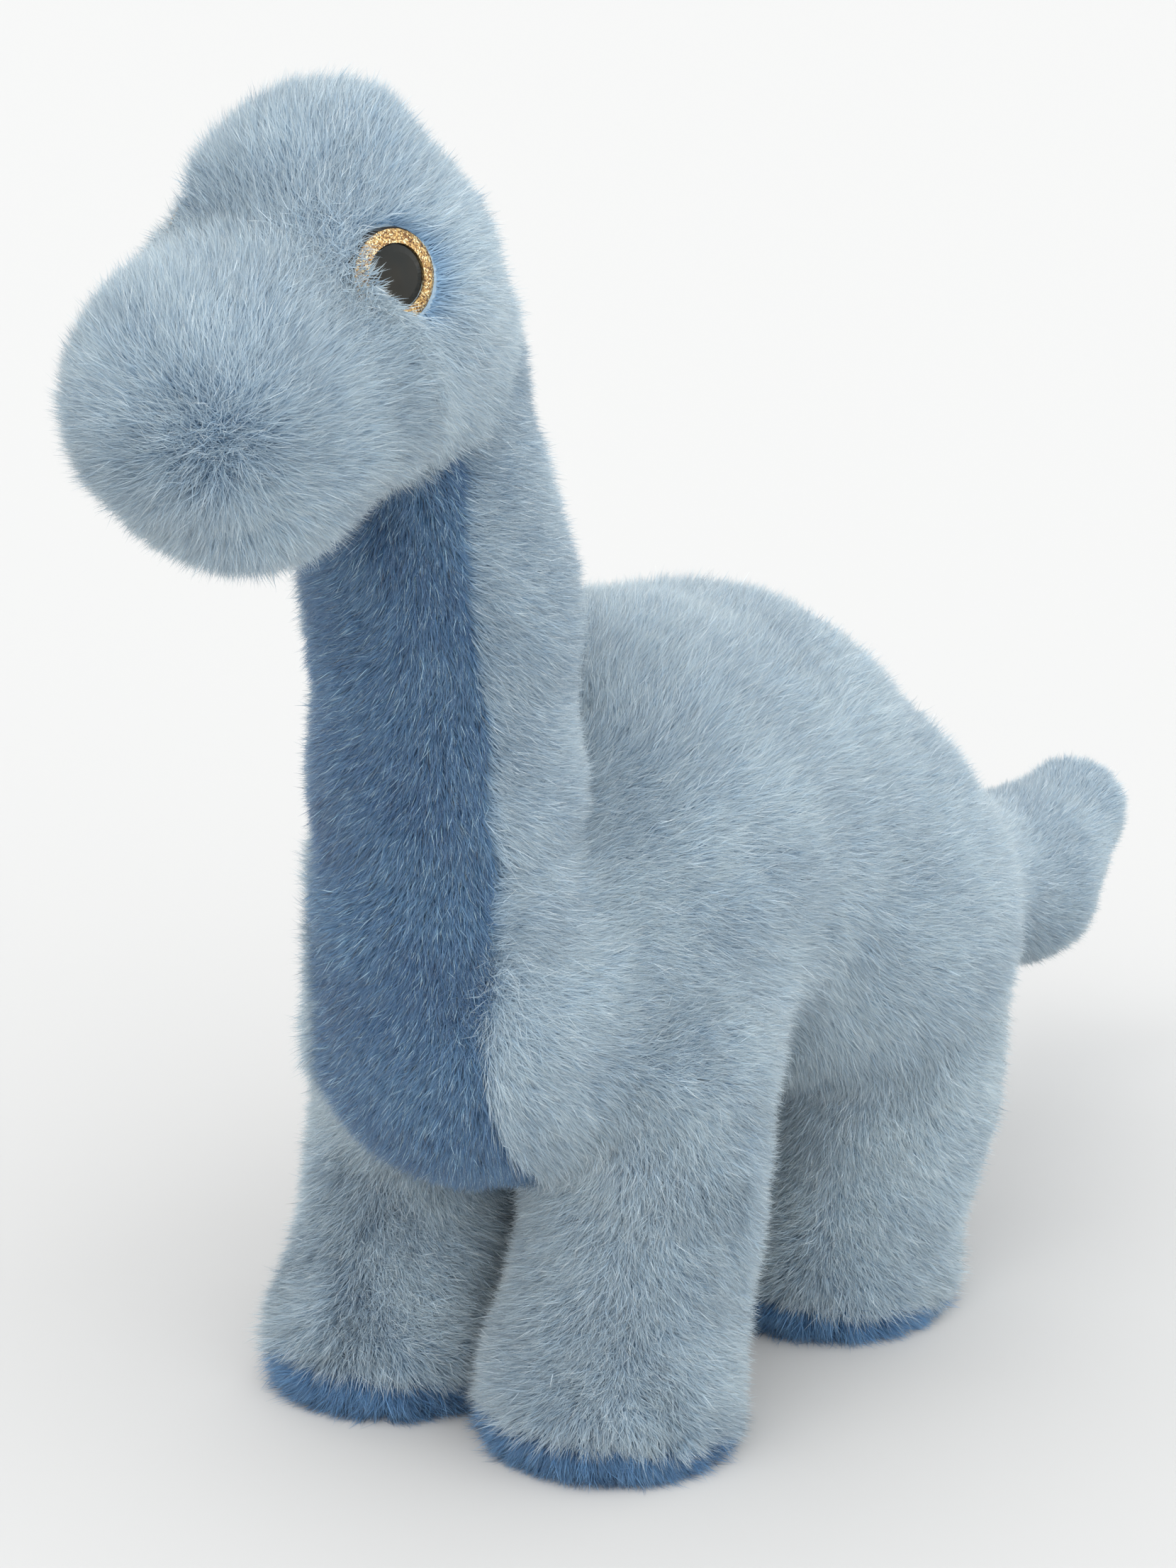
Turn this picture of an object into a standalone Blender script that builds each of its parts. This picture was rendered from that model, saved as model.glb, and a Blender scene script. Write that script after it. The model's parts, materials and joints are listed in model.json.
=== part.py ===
"""A stuffed long-necked dinosaur, sewn from pile fabric and filled with fibre.

Each body part (torso, neck, head, tail, four legs) is a rounded form given by a chain of balls.
Its skin is cut into sewn panels, each a thin closed solid, around one solid fibre filling.
Neck, head, tail and legs meet their neighbour in a ball-shaped socket, where the soft toy bends.
Units are metres, the toy faces -Y, its left side is +X and it stands on Z = 0.
"""
import math

import bmesh
import bpy
from mathutils import Matrix, Vector

MM = 0.001

# Sewn skin
GAP = 0.3 * MM
FABRIC = 3.0 * MM
FILL_GAP = 0.5 * MM
SEAM_INSET = 0.35 * MM
BLEND = 5.0 * MM

# Forms, as chains of balls: (x, y, z, radius) in millimetres
TORSO_CHAIN = ((0, -26, 116, 50), (0, 20, 107, 48.5))
CHEST_CHAIN = ((0, -83, 124, 27), (0, -75, 96, 32.5), (0, -40, 105, 40))
HAUNCH_CHAIN = ((-19, 29, 97, 40), (19, 29, 97, 40))
NECK_CHAIN = ((0, -84, 148, 27), (0, -85, 188, 25.5), (0, -89, 207, 24), (0, -101, 234, 19.5))
SKULL_CHAIN = ((0, -121, 274.5, 23), (0, -106, 250, 26))
MUZZLE_CHAIN = ((0, -130, 250, 27), (0, -158, 242, 28))
CHEEK_CHAIN = ((-9, -121, 260, 22), (9, -121, 260, 22))
TAIL_CHAIN = ((0, 72, 88, 17), (0, 108, 69, 20.5), (0, 148, 57, 18), (0, 174, 64, 12))
LEG_X = 29.0
FRONT_LEG_Y = -49.0
REAR_LEG_Y = 34.0
HIP_HEIGHT = 80.0
LEG_DIRECTION = Vector((0, -0.13, -1))
FRONT_LEG_FORM = ((0, 0, 80, 25), (0, -4, 50, 22), (0, -12, 11, 27.5))
REAR_LEG_FORM = ((0, 0, 80, 27), (0, -3, 50, 23.5), (0, -14, 11, 27.5))

# Seams
BELLY_HALF_WIDTH = 22 * MM
THROAT_HALF_WIDTH = 20 * MM
GUSSET_HALF_WIDTH = 13 * MM
BELLY_REAR_END = 32 * MM
BELLY_SEAM_POINT = Vector((0, -82, 139)) * MM
BELLY_SEAM_NORMAL = Vector((0, 0.537, 0.843))
MUZZLE_SEAM_POINT = Vector((0, -129, 248)) * MM
MUZZLE_SEAM_NORMAL = Vector((0, 0.83, 0.56))
CHIN_SEAM_POINT = Vector((0, -152, 227)) * MM
COLLAR_POINT = Vector((0, -101, 228)) * MM
COLLAR_NORMAL = Vector((0, -0.3, 0.954))
SOLE_THICKNESS = 7 * MM
SOLE_SEGMENTS = 18

# Joints: the centre of each ball-shaped end and its radius
NECK_PIVOT = Vector((0, -84, 148)) * MM
HEAD_PIVOT = Vector((0, -101, 234)) * MM
TAIL_PIVOT = Vector((0, 72, 88)) * MM
NECK_END_RADIUS = 27 * MM
HEAD_END_RADIUS = 19.5 * MM
TAIL_END_RADIUS = 17 * MM
SOCKET_CLEARANCE = 1.0 * MM
SOCKET_FLARE = math.radians(12)
SOCKET_SPREAD = 3.0 * MM
COLLAR_SPREAD = 8.0 * MM
COLLAR_EASE = 2.0 * MM

# Eyes and stitches
EYE_PLACE = Vector((24.6, -133.2, 266.4)) * MM
EYE_AXIS = Vector((0.93, -0.30, 0.20))
EYE_CAP = ((0, -13), (2.4, -13), (2.4, -1.0), (9.5, -1.0), (9.5, 0.3), (9.1, 0.6), (0, 0.6))
EYE_RING = ((6.4, 0.9), (9.1, 0.9), (9.1, 1.2), (8.3, 1.7), (6.4, 1.9))
EYE_PUPIL = ((0, 0.9), (6.1, 0.9), (6.1, 1.6), (4.7, 2.1), (0, 2.4))
EYE_WASHER = ((2.7, -6.0), (7.0, -6.0), (7.0, -4.8), (2.7, -4.8))
EYE_SEAT = (
    (0, -13.6), (2.8, -13.6), (2.8, -6.3), (7.4, -6.3), (7.4, -4.5),
    (2.8, -4.5), (2.8, -1.3), (9.9, -1.3), (9.9, 12), (0, 12),
)
NOSTRIL_PLACE = Vector((11, -149, 268)) * MM
NOSTRIL_RADIUS = 2.0 * MM

# Colours: (red, green, blue), roughness
LIGHT_PLUSH = ((0.36, 0.46, 0.56), 0.95)
DARK_PLUSH = ((0.07, 0.14, 0.27), 0.90)
FIBRE_FILL = ((0.90, 0.90, 0.87), 1.00)
BLACK_PLASTIC = ((0.012, 0.010, 0.010), 0.12)
GOLD_GLITTER = ((0.55, 0.36, 0.12), 0.35)
WASHER_NYLON = ((0.80, 0.80, 0.76), 0.50)
GREY_THREAD = ((0.25, 0.33, 0.42), 0.80)


def clear_scene():
    for scene_object in list(bpy.data.objects):
        bpy.data.objects.remove(scene_object, do_unlink=True)


def add_object(name, bm, finish, parent=None):
    """Turns a bmesh into a named object with its own material."""
    bmesh.ops.recalc_face_normals(bm, faces=bm.faces)
    mesh = bpy.data.meshes.new(name)
    bm.to_mesh(mesh)
    bm.free()
    for polygon in mesh.polygons:
        polygon.use_smooth = True
    mesh.set_sharp_from_angle(angle=math.radians(40))
    new_object = bpy.data.objects.new(name, mesh)
    bpy.context.scene.collection.objects.link(new_object)
    if finish is not None:
        colour, roughness = finish
        material = bpy.data.materials.new(name)
        material.use_nodes = True
        shader = material.node_tree.nodes["Principled BSDF"]
        shader.inputs["Base Color"].default_value = (*colour, 1)
        shader.inputs["Roughness"].default_value = roughness
        shader.inputs["Metallic"].default_value = 0
        mesh.materials.append(material)
    if parent is not None:
        new_object.parent = parent
        new_object.matrix_parent_inverse = parent.matrix_world.inverted()
    return new_object


def add_pivot(name, place):
    """An empty on a joint's axis, which the moving pieces hang from."""
    pivot = bpy.data.objects.new(name, None)
    bpy.context.scene.collection.objects.link(pivot)
    pivot.matrix_world = Matrix.Translation(place)
    return pivot


def chain_distance(point, chain):
    """Signed distance from a point to a rounded form through a chain of balls."""
    total = 0.0
    for first, second in zip(chain, chain[1:]):
        start = Vector(first[:3]) * MM
        end = Vector(second[:3]) * MM
        along = end - start
        share = max(0.0, min(1.0, (point - start).dot(along) / along.length_squared))
        radius = (first[3] + (second[3] - first[3]) * share) * MM
        total += math.exp(-((point - start - along * share).length - radius) / BLEND)
    return -BLEND * math.log(max(total, 1e-300))


def form_distance(point, chains):
    """Signed distance to several chains, softly joined, standing on the ground."""
    total = sum(math.exp(-chain_distance(point, chain) / BLEND) for chain in chains)
    return max(-BLEND * math.log(max(total, 1e-300)), -point.z)


def surface_point(origin, direction, chains):
    """Walks outward from inside a form until its surface."""
    travel = 0.0
    for _ in range(60):
        travel -= form_distance(origin + direction * travel, chains)
    return origin + direction * travel


def closed_form(chains, core, rings, segments):
    """The closed outer surface of a form, as rings around a core line from end to end."""
    start, end = core
    axis = (end - start).normalized()
    side = axis.cross(Vector((0, 0, 1)) if abs(axis.z) < 0.9 else Vector((0, 1, 0))).normalized()
    other = axis.cross(side)
    bm = bmesh.new()
    loops = []
    for ring in range(1, rings):
        share = ring / rings
        tilt = 0.0
        place = min(max((share - 0.3) / 0.4, 0.0), 1.0)
        if share < 0.3:
            tilt = -math.pi / 2 * (1 - share / 0.3)
        if share > 0.7:
            tilt = math.pi / 2 * (share - 0.7) / 0.3
        origin = start.lerp(end, place)
        loop = []
        for segment in range(segments):
            angle = 2 * math.pi * (segment + 0.5) / segments
            around = side * math.cos(angle) + other * math.sin(angle)
            direction = axis * math.sin(tilt) + around * math.cos(tilt)
            loop.append(bm.verts.new(surface_point(origin, direction, chains)))
        loops.append(loop)
    first_pole = bm.verts.new(surface_point(start, -axis, chains))
    last_pole = bm.verts.new(surface_point(end, axis, chains))
    for near, far in zip(loops, loops[1:]):
        for index in range(segments):
            following = (index + 1) % segments
            bm.faces.new((near[index], near[following], far[following], far[index]))
    for index in range(segments):
        following = (index + 1) % segments
        bm.faces.new((first_pole, loops[0][following], loops[0][index]))
        bm.faces.new((last_pole, loops[-1][index], loops[-1][following]))
    bmesh.ops.triangulate(bm, faces=bm.faces[:])
    bmesh.ops.recalc_face_normals(bm, faces=bm.faces)
    return bm


def cut(bm, point, normal, keep_below=False, cap=False):
    """Adds a seam line where a plane crosses the mesh, or keeps only what is below it."""
    found = bmesh.ops.bisect_plane(
        bm,
        geom=bm.verts[:] + bm.edges[:] + bm.faces[:],
        dist=1e-6,
        plane_co=point,
        plane_no=normal,
        clear_outer=keep_below,
    )
    if cap:
        edges = [item for item in found["geom_cut"] if isinstance(item, bmesh.types.BMEdge)]
        bmesh.ops.edgeloop_fill(bm, edges=edges)


def toward_core(point, core, distance):
    """Moves a point straight toward the nearest point of the core line."""
    start, end = core
    along = end - start
    share = max(0.0, min(1.0, (point - start).dot(along) / along.length_squared))
    nearest = start + along * share
    return point + (nearest - point).normalized() * distance


def panel(name, form, core, belongs, finish, parent=None):
    """One sewn panel: the faces that belong to it, drawn back from the seams and thickened."""
    bm = form.copy()
    strays = [face for face in bm.faces if not belongs(face.calc_center_median())]
    bmesh.ops.delete(bm, geom=strays, context="FACES")
    moved = {}
    for vert in bm.verts:
        if vert.is_boundary:
            middle = sum((face.calc_center_median() for face in vert.link_faces), Vector())
            middle /= len(vert.link_faces)
            moved[vert] = vert.co + (middle - vert.co).normalized() * SEAM_INSET
    for vert, place in moved.items():
        vert.co = place
    outer_faces = list(bm.faces)
    rim = [edge for edge in bm.edges if edge.is_boundary]
    inner = {vert: bm.verts.new(toward_core(vert.co, core, FABRIC)) for vert in list(bm.verts)}
    for edge in rim:
        loop = edge.link_loops[0]
        start = loop.vert
        end = loop.link_loop_next.vert
        bm.faces.new((end, start, inner[start], inner[end]))
    for face in outer_faces:
        bm.faces.new([inner[vert] for vert in reversed(face.verts)])
    return add_object(name, bm, finish, parent)


def filling(name, form, core, parent=None, base=None):
    """The fibre filling: the form drawn in by the fabric's thickness, cut flat above a base."""
    bm = form.copy()
    for vert in bm.verts:
        vert.co = toward_core(vert.co, core, FABRIC + FILL_GAP)
    if base is not None:
        point, normal = base
        cut(bm, point, normal, keep_below=True, cap=True)
    return add_object(name, bm, FIBRE_FILL, parent)


def lathe(profile, segments, name, finish, parent=None):
    """A closed solid turned around local Z from a profile of (radius, height) in millimetres."""
    bm = bmesh.new()
    loops = []
    for radius, height in profile:
        if radius == 0:
            loops.append([bm.verts.new((0, 0, height * MM))])
            continue
        angles = [2 * math.pi * segment / segments for segment in range(segments)]
        loops.append([
            bm.verts.new((radius * MM * math.cos(a), radius * MM * math.sin(a), height * MM))
            for a in angles
        ])
    pairs = list(zip(loops, loops[1:]))
    if profile[0][0] != 0:
        pairs.append((loops[-1], loops[0]))
    for near, far in pairs:
        for index in range(segments):
            following = (index + 1) % segments
            corners = [near[index % len(near)], near[following % len(near)]]
            corners += [far[following % len(far)], far[index % len(far)]]
            bm.faces.new(list(dict.fromkeys(corners)))
    return add_object(name, bm, finish, parent)


def socket_cutter(name, pivot, radius, toward, sweep_axis, length, spread=SOCKET_SPREAD):
    """The room a ball-ended limb sweeps: a ball, widened away from it across the sweep axis."""
    toward = toward.normalized()
    across = sweep_axis.cross(toward).normalized()
    sweep = toward.cross(across).normalized()
    wide = radius + SOCKET_CLEARANCE
    bm = bmesh.new()
    loops = []
    segments = 20
    rings = [(-math.sin(math.radians(a)), math.cos(math.radians(a))) for a in (67, 45, 22, 0)]
    stations = [(wide * depth, wide * scale, wide * scale) for depth, scale in rings]
    flare = length * math.tan(SOCKET_FLARE)
    stations.append((length, wide + spread, wide + flare))
    for height, half_sweep, half_across in stations:
        loop = []
        for segment in range(segments):
            angle = 2 * math.pi * segment / segments
            offset = sweep * math.cos(angle) * half_sweep + across * math.sin(angle) * half_across
            loop.append(bm.verts.new(pivot + toward * height + offset))
        loops.append(loop)
    for near, far in zip(loops, loops[1:]):
        for index in range(segments):
            following = (index + 1) % segments
            bm.faces.new((near[index], near[following], far[following], far[index]))
    pole = bm.verts.new(pivot - toward * wide)
    for index in range(segments):
        bm.faces.new((pole, loops[0][(index + 1) % segments], loops[0][index]))
    bm.faces.new(loops[-1])
    return make_guide(add_object(name, bm, None))


def make_guide(guide):
    guide.hide_render = True
    guide.display_type = "WIRE"
    return guide


def subtract(pieces, cutter):
    """Takes a cutter's room out of each piece."""
    for piece in pieces:
        modifier = piece.modifiers.new(cutter.name, "BOOLEAN")
        modifier.operation = "DIFFERENCE"
        modifier.solver = "EXACT"
        modifier.object = cutter


def core_line(*chain_ends):
    return tuple(Vector(end[:3]) * MM for end in chain_ends)


def above(point, seam_point, seam_normal):
    return (point - seam_point).dot(seam_normal) > 0


def build_torso():
    core = (Vector((0, -70, 108)) * MM, Vector((0, 20, 104)) * MM)
    form = closed_form((TORSO_CHAIN, CHEST_CHAIN, HAUNCH_CHAIN), core, 12, 16)
    fill = filling("body_stuffing", form, core)
    cut(form, Vector((0, 0, 0)), Vector((1, 0, 0)))
    cut(form, Vector((BELLY_HALF_WIDTH, 0, 0)), Vector((1, 0, 0)))
    cut(form, Vector((-BELLY_HALF_WIDTH, 0, 0)), Vector((1, 0, 0)))
    cut(form, BELLY_SEAM_POINT, BELLY_SEAM_NORMAL)
    cut(form, Vector((0, BELLY_REAR_END, 0)), Vector((0, 1, 0)))

    def on_belly(point):
        low = not above(point, BELLY_SEAM_POINT, BELLY_SEAM_NORMAL)
        return low and abs(point.x) < BELLY_HALF_WIDTH and point.y < BELLY_REAR_END

    pieces = [
        panel("body_left_panel", form, core, lambda p: p.x > 0 and not on_belly(p), LIGHT_PLUSH),
        panel("body_right_panel", form, core, lambda p: p.x < 0 and not on_belly(p), LIGHT_PLUSH),
        panel("belly_panel", form, core, on_belly, DARK_PLUSH),
        fill,
    ]
    form.free()
    return pieces


def build_neck():
    pivot = add_pivot("neck_pivot", NECK_PIVOT)
    core = core_line(NECK_CHAIN[0], NECK_CHAIN[-1])
    form = closed_form((NECK_CHAIN,), core, 9, 14)
    filling("neck_stuffing", form, core, pivot)
    axis = (core[1] - core[0]).normalized()
    cut(form, Vector((0, 0, 0)), Vector((1, 0, 0)))
    cut(form, Vector((THROAT_HALF_WIDTH, 0, 0)), Vector((1, 0, 0)))
    cut(form, Vector((-THROAT_HALF_WIDTH, 0, 0)), Vector((1, 0, 0)))
    back_plane = axis.cross(Vector((1, 0, 0)))
    cut(form, core[0], back_plane)
    low_end = core[0] - axis * NECK_END_RADIUS * 0.5
    high_end = core[1] + axis * HEAD_END_RADIUS * 0.3
    cut(form, low_end, axis)
    cut(form, high_end, axis)

    def on_tube(point):
        return above(point, low_end, axis) and not above(point, high_end, axis)

    def on_throat(point):
        front = above(point, core[0], back_plane) == (back_plane.y < 0)
        return front and abs(point.x) < THROAT_HALF_WIDTH

    def side(sign):
        return lambda p: on_tube(p) and p.x * sign > 0 and not on_throat(p)

    panel("neck_left_panel", form, core, side(1), LIGHT_PLUSH, pivot)
    panel("neck_right_panel", form, core, side(-1), LIGHT_PLUSH, pivot)
    panel("throat_panel", form, core, lambda p: on_tube(p) and on_throat(p), DARK_PLUSH, pivot)
    form.free()
    return pivot


def build_head(neck_pivot):
    pivot = add_pivot("head_pivot", HEAD_PIVOT)
    pivot.parent = neck_pivot
    pivot.matrix_parent_inverse = neck_pivot.matrix_world.inverted()
    bpy.context.view_layer.update()
    core = (Vector((0, -152, 243)) * MM, Vector((0, -112, 256)) * MM)
    form = closed_form((SKULL_CHAIN, MUZZLE_CHAIN, CHEEK_CHAIN), core, 12, 16)
    base = (COLLAR_POINT + COLLAR_NORMAL * GAP, -COLLAR_NORMAL)
    fill = filling("head_stuffing", form, core, pivot, base)
    cut(form, COLLAR_POINT, -COLLAR_NORMAL, keep_below=True)
    cut(form, MUZZLE_SEAM_POINT, MUZZLE_SEAM_NORMAL)
    cut(form, CHIN_SEAM_POINT, Vector((0, 0, 1)))
    cut(form, Vector((GUSSET_HALF_WIDTH, 0, 0)), Vector((1, 0, 0)))
    cut(form, Vector((-GUSSET_HALF_WIDTH, 0, 0)), Vector((1, 0, 0)))

    def on_chin(point):
        return point.z < CHIN_SEAM_POINT.z

    def on_skull(point):
        return above(point, MUZZLE_SEAM_POINT, MUZZLE_SEAM_NORMAL) and not on_chin(point)

    def side(sign):
        return lambda p: on_skull(p) and p.x * sign > GUSSET_HALF_WIDTH

    crown = panel("crown_gusset", form, core,
                  lambda p: on_skull(p) and abs(p.x) < GUSSET_HALF_WIDTH, LIGHT_PLUSH, pivot)
    left = panel("head_left_panel", form, core, side(1), LIGHT_PLUSH, pivot)
    right = panel("head_right_panel", form, core, side(-1), LIGHT_PLUSH, pivot)
    muzzle = panel("muzzle_panel", form, core, lambda p: not on_skull(p) and not on_chin(p),
                   LIGHT_PLUSH, pivot)
    chin = panel("chin_panel", form, core, on_chin, LIGHT_PLUSH, pivot)
    form.free()

    room = socket_cutter("head_socket", HEAD_PIVOT, HEAD_END_RADIUS + COLLAR_EASE, -COLLAR_NORMAL,
                         Vector((1, 0, 0)), 40 * MM, COLLAR_SPREAD)
    subtract([crown, left, right, muzzle, chin, fill], room)
    for side_name, sign, cheek in (("left", 1, left), ("right", -1, right)):
        seat = build_eye(side_name, sign, pivot)
        subtract([cheek, muzzle, fill], seat)
        pit = build_nostril(side_name, sign, pivot)
        subtract([muzzle, fill], pit)


def build_eye(side_name, sign, parent):
    """A safety eye: capped shank, glitter ring, pupil dome and the washer behind the fabric."""
    place = Vector((EYE_PLACE.x * sign, EYE_PLACE.y, EYE_PLACE.z))
    axis = Vector((EYE_AXIS.x * sign, EYE_AXIS.y, EYE_AXIS.z)).normalized()
    pose = Matrix.Translation(place) @ axis.to_track_quat("Z", "Y").to_matrix().to_4x4()
    pieces = (
        ("cap_and_shank", EYE_CAP, BLACK_PLASTIC),
        ("glitter_ring", EYE_RING, GOLD_GLITTER),
        ("pupil", EYE_PUPIL, BLACK_PLASTIC),
        ("washer", EYE_WASHER, WASHER_NYLON),
    )
    for piece_name, profile, finish in pieces:
        segments = 12 if piece_name == "washer" else 24
        piece = lathe(profile, segments, f"eye_{side_name}_{piece_name}", finish)
        piece.matrix_world = pose
        piece.parent = parent
        piece.matrix_parent_inverse = parent.matrix_world.inverted()
    seat = lathe(EYE_SEAT, 12, f"eye_{side_name}_seat", None)
    seat.matrix_world = pose
    return make_guide(seat)


def build_nostril(side_name, sign, parent):
    """A small stitched knot in a pit of the muzzle."""
    place = Vector((NOSTRIL_PLACE.x * sign, NOSTRIL_PLACE.y, NOSTRIL_PLACE.z))
    for name, radius, finish in (("stitch", NOSTRIL_RADIUS, GREY_THREAD),
                                 ("pit", NOSTRIL_RADIUS + 1.3 * GAP, None)):
        bm = bmesh.new()
        bmesh.ops.create_icosphere(bm, subdivisions=2, radius=radius)
        bmesh.ops.translate(bm, vec=place, verts=bm.verts)
        knot = add_object(f"nostril_{side_name}_{name}", bm, finish)
        if finish is None:
            return make_guide(knot)
        knot.parent = parent
        knot.matrix_parent_inverse = parent.matrix_world.inverted()


def build_tail():
    pivot = add_pivot("tail_pivot", TAIL_PIVOT)
    core = core_line(TAIL_CHAIN[0], TAIL_CHAIN[-1])
    form = closed_form((TAIL_CHAIN,), core, 9, 12)
    filling("tail_stuffing", form, core, pivot)
    axis = (core[1] - core[0]).normalized()
    cut(form, Vector((0, 0, 0)), Vector((1, 0, 0)))
    root = core[0] - axis * TAIL_END_RADIUS * 0.5
    cut(form, root, axis)
    for side_name, sign in (("left", 1), ("right", -1)):
        panel(f"tail_{side_name}_panel", form, core,
              lambda p, s=sign: p.x * s > 0 and above(p, root, axis), LIGHT_PLUSH, pivot)
    form.free()


def build_leg(leg_name, x, y, leg_form):
    """A leg: outer and inner panels around the filling, with a flat dark sole."""
    place = Vector((x, y, HIP_HEIGHT)) * MM
    pivot = add_pivot(f"{leg_name}_pivot", place)
    chain = tuple((x + ball[0], y + ball[1], ball[2], ball[3]) for ball in leg_form)
    core = core_line(chain[-1], chain[0])
    form = closed_form((chain,), core, 8, 14)
    sole_top = Vector((0, 0, SOLE_THICKNESS))
    base = (sole_top + Vector((0, 0, GAP)), Vector((0, 0, -1)))
    filling(f"{leg_name}_stuffing", form, core, pivot, base)
    cut(form, Vector((x * MM, 0, 0)), Vector((1, 0, 0)))
    cut(form, sole_top, Vector((0, 0, 1)))
    hem = place.z + leg_form[0][3] * MM * 0.85
    cut(form, Vector((0, 0, hem)), Vector((0, 0, 1)))
    outward = 1 if x > 0 else -1

    def side(sign):
        return lambda p: (p.x - place.x) * sign > 0 and SOLE_THICKNESS < p.z < hem

    panel(f"{leg_name}_outer_panel", form, core, side(outward), LIGHT_PLUSH, pivot)
    panel(f"{leg_name}_inner_panel", form, core, side(-outward), LIGHT_PLUSH, pivot)
    form.free()
    build_sole(f"{leg_name}_sole", chain, pivot)
    return place


def build_sole(name, chain, parent):
    """A flat sole with a rounded edge, following the outline of the foot."""
    foot = Vector(chain[-1][:3]) * MM
    top = SOLE_THICKNESS - GAP
    bm = bmesh.new()
    loops = []
    for height, share in ((top, 1.0), (0.3 * top, 0.99), (0.0, 0.92)):
        loop = []
        for segment in range(SOLE_SEGMENTS):
            angle = 2 * math.pi * segment / SOLE_SEGMENTS
            around = Vector((math.cos(angle), math.sin(angle), 0))
            origin = Vector((foot.x, foot.y, top))
            edge = surface_point(origin, around, (chain,)) - origin
            loop.append(bm.verts.new((foot.x + edge.x * share, foot.y + edge.y * share, height)))
        loops.append(loop)
    for near, far in zip(loops, loops[1:]):
        for index in range(SOLE_SEGMENTS):
            following = (index + 1) % SOLE_SEGMENTS
            bm.faces.new((near[index], near[following], far[following], far[index]))
    bm.faces.new(loops[0])
    bm.faces.new(loops[-1])
    add_object(name, bm, DARK_PLUSH, parent)


def main():
    clear_scene()
    torso = build_torso()
    neck_pivot = build_neck()
    bpy.context.view_layer.update()
    build_head(neck_pivot)
    build_tail()
    sockets = [
        socket_cutter("neck_socket", NECK_PIVOT, NECK_END_RADIUS, Vector((0, 0, 1)),
                      Vector((1, 0, 0)), 50 * MM),
        socket_cutter("tail_socket", TAIL_PIVOT, TAIL_END_RADIUS, Vector((0, 0.9, -0.42)),
                      Vector((0, 0, 1)), 60 * MM),
    ]
    for leg_name, x, y, leg_form in (
        ("front_left_leg", LEG_X, FRONT_LEG_Y, FRONT_LEG_FORM),
        ("front_right_leg", -LEG_X, FRONT_LEG_Y, FRONT_LEG_FORM),
        ("rear_left_leg", LEG_X, REAR_LEG_Y, REAR_LEG_FORM),
        ("rear_right_leg", -LEG_X, REAR_LEG_Y, REAR_LEG_FORM),
    ):
        hip = build_leg(leg_name, x, y, leg_form)
        sockets.append(socket_cutter(f"{leg_name}_socket", hip, leg_form[0][3] * MM,
                                     LEG_DIRECTION, Vector((1, 0, 0)), 60 * MM))
    for room in sockets:
        subtract(torso, room)


main()
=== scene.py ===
"""Looks of the stuffed long-necked dinosaur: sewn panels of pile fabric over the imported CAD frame.

The toy's soft outline is one distance field made from chains of balls, placed from the joints'
pivots. Its surface is cut along the seams of the CAD part's panels, and the larger panels once
more. Each gets a knitted backing and a pile of fine tapered fibres, combed as the real fabric
lies. Units are metres, Z is up.
"""
import json
import math
from collections import Counter

import bmesh
import bpy
import numpy as np
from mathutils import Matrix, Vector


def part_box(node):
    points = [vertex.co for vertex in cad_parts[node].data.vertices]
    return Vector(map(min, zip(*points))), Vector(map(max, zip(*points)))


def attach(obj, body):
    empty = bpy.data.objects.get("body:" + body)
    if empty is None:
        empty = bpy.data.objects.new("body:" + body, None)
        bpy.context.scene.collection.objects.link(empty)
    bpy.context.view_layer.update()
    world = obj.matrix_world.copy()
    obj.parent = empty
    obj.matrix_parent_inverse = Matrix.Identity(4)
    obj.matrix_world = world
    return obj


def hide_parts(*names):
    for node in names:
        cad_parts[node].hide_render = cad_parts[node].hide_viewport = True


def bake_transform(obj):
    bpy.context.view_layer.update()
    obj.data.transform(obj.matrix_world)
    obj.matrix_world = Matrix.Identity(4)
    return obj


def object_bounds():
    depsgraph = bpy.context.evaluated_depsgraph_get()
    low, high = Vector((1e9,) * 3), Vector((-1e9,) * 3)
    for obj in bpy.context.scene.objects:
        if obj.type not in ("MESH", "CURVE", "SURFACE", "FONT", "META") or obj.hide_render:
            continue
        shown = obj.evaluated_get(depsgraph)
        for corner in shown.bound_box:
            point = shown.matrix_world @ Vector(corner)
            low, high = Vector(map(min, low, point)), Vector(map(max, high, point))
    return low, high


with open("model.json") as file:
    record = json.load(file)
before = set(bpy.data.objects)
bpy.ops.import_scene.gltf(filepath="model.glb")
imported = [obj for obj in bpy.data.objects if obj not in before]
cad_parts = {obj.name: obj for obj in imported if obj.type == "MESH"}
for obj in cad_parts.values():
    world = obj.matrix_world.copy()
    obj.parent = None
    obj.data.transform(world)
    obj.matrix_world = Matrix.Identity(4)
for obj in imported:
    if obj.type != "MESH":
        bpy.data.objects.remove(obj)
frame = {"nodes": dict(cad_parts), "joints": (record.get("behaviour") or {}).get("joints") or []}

import openvdb
from mathutils import Matrix, Vector
from mathutils.kdtree import KDTree

MM = 0.001
cad_low, cad_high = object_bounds()
PIVOTS = {joint["name"]: np.array(joint["pos_m"]) for joint in frame["joints"]}
GROUND = np.zeros(3)

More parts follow.
